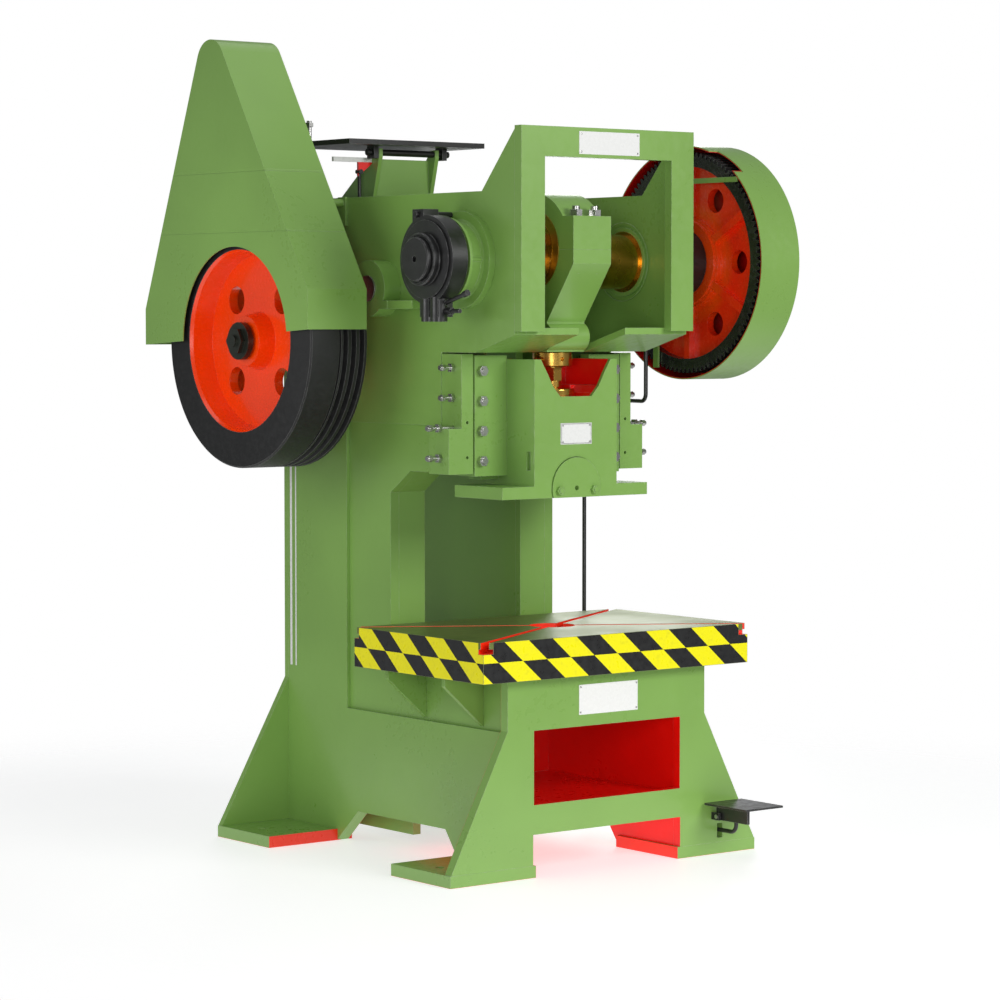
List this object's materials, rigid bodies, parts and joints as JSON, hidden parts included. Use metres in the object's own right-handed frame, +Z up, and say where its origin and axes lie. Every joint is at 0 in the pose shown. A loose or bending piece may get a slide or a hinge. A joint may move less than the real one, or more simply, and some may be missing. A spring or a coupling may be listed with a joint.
{
  "type": "mechanical stamping press",
  "caption": "Geared C-frame mechanical stamping press with guarded flywheel, crank-driven ram, T-slotted bed and foot treadle.",
  "frame": {"origin": "floor level, directly below the centre of the bed bore and the ram", "axes": "+X to the operator's right along the crankshaft, +Y from the operator to the back, +Z up"},
  "size_m": [1.724, 2.1016, 3.134],
  "materials": {
    "green_paint": "glossy machine enamel",
    "red_paint": "glossy enamel",
    "orange_red": "glossy enamel",
    "black_paint": "satin enamel",
    "wheel_iron": "painted cast iron",
    "bed_steel": "ground and oiled",
    "bronze": "turned",
    "oiled_steel": "ground, oiled",
    "bright_steel": "zinc plated",
    "label_white": "gloss plate"
  },
  "bodies": {
    "frame": {"left_cheek": "green_paint", "right_cheek": "green_paint", "upper_side_skins": "green_paint", "lower_side_skins": "green_paint", "column_inner_plates": "green_paint", "column_closing_plates": "green_paint", "base_front_plate": "green_paint", "rear_plate": "green_paint", "foot_plates": "green_paint", "frame_ribs": "green_paint", "head_frame": "green_paint", "head_soffit": "green_paint", "top_tie_plate": "green_paint", "crank_bearings": "green_paint", "shaft_bearings": "green_paint", "gibs": "green_paint", "gib_holders": "green_paint", "belt_guard": "green_paint", "gear_guard": "green_paint", "guard_brackets": "green_paint", "motor_bracket": "green_paint", "base_inner_plates": "red_paint", "brake_band": "black_paint", "brake_bolts": "black_paint", "motor_hinge_pin": "black_paint", "pedal_bracket": "black_paint", "bolster": "bed_steel", "crank_bushes": "bronze", "gib_bolts": "bright_steel", "gib_set_screws": "bright_steel", "motor_jack_bolt": "bright_steel", "treadle_pins": "bright_steel", "frame_nameplates": "label_white"},
    "crank": {"crankshaft": "oiled_steel", "brake_drum": "black_paint", "drum_cap": "black_paint", "clutch_hub": "black_paint"},
    "connecting_rod": {"con_rod": "green_paint", "con_rod_cap": "green_paint", "con_rod_bolts": "bright_steel", "crankpin_bush": "bronze", "lock_nut": "bronze"},
    "adjusting_screw": {"ball_screw": "bronze", "seat_cap": "bronze"},
    "slide": {"ram": "green_paint", "tool_clamp": "green_paint", "tool_clamp_bolts": "green_paint", "ram_nameplate": "label_white"},
    "crank_gear": {"bull_gear": "orange_red"},
    "back_shaft": {"back_shaft": "oiled_steel", "back_pinion": "oiled_steel", "back_gear": "orange_red"},
    "flywheel": {"flywheel_shaft": "oiled_steel", "flywheel_pinion": "oiled_steel", "flywheel": "wheel_iron", "flywheel_nut": "bright_steel"},
    "motor_plate": {"motor_plate": "black_paint"},
    "treadle": {"pedal": "black_paint"},
    "trip_rod": {"trip_rod": "black_paint"},
    "trip_lever": {"trip_lever": "black_paint"}
  },
  "joints": [
    {"name": "flywheel_spin", "type": "hinge", "parent": "frame", "child": "flywheel", "pos_m": [0, 0.88256, 1.971], "axis": [1, 0, 0], "continuous": true},
    {"name": "back_shaft_spin", "type": "hinge", "parent": "frame", "child": "back_shaft", "pos_m": [0, 0.51378, 2.172], "axis": [1, 0, 0], "continuous": true},
    {"name": "crank_gear_spin", "type": "hinge", "parent": "frame", "child": "crank_gear", "pos_m": [0, 0, 2.275], "axis": [1, 0, 0], "continuous": true},
    {"name": "crank_spin", "type": "hinge", "parent": "frame", "child": "crank", "pos_m": [0, 0, 2.275], "axis": [1, 0, 0], "continuous": true},
    {"name": "rod_swing", "type": "hinge", "parent": "crank", "child": "connecting_rod", "pos_m": [0, 0, 2.315], "axis": [1, 0, 0], "continuous": true},
    {"name": "screw_turn", "type": "hinge", "parent": "connecting_rod", "child": "adjusting_screw", "pos_m": [0, 0, 1.85], "axis": [0, 0, 1], "range_deg": [-180, 180]},
    {"name": "slide_travel", "type": "slide", "parent": "frame", "child": "slide", "axis": [0, 0, 1], "range_m": [-0.08, 0]},
    {"name": "motor_plate_tilt", "type": "hinge", "parent": "frame", "child": "motor_plate", "pos_m": [0, 0.84, 2.711], "axis": [1, 0, 0], "range_deg": [0, 5]},
    {"name": "treadle_press", "type": "hinge", "parent": "frame", "child": "treadle", "pos_m": [0.56, -0.365, 0.15], "axis": [1, 0, 0], "range_deg": [0, 12], "stiffness_Nm_per_rad": 70, "springref_deg": -11.46},
    {"name": "trip_rod_pull", "type": "slide", "parent": "frame", "child": "trip_rod", "axis": [0, 0, 1], "range_m": [-0.014, 0]},
    {"name": "trip_lever_swing", "type": "hinge", "parent": "frame", "child": "trip_lever", "pos_m": [0.52, 0.12, 1.9645], "axis": [1, 0, 0], "range_deg": [0, 10]}
  ],
  "couplings": [
    {"joint": "back_shaft_spin", "follows": "flywheel_spin", "ratio": -0.26506},
    {"joint": "crank_gear_spin", "follows": "flywheel_spin", "ratio": 0.062514},
    {"joint": "rod_swing", "follows": "crank_spin", "ratio": -1},
    {"joint": "trip_rod_pull", "follows": "treadle_press", "m_per_rad": -0.064},
    {"joint": "trip_lever_swing", "follows": "treadle_press", "ratio": 0.8}
  ]
}
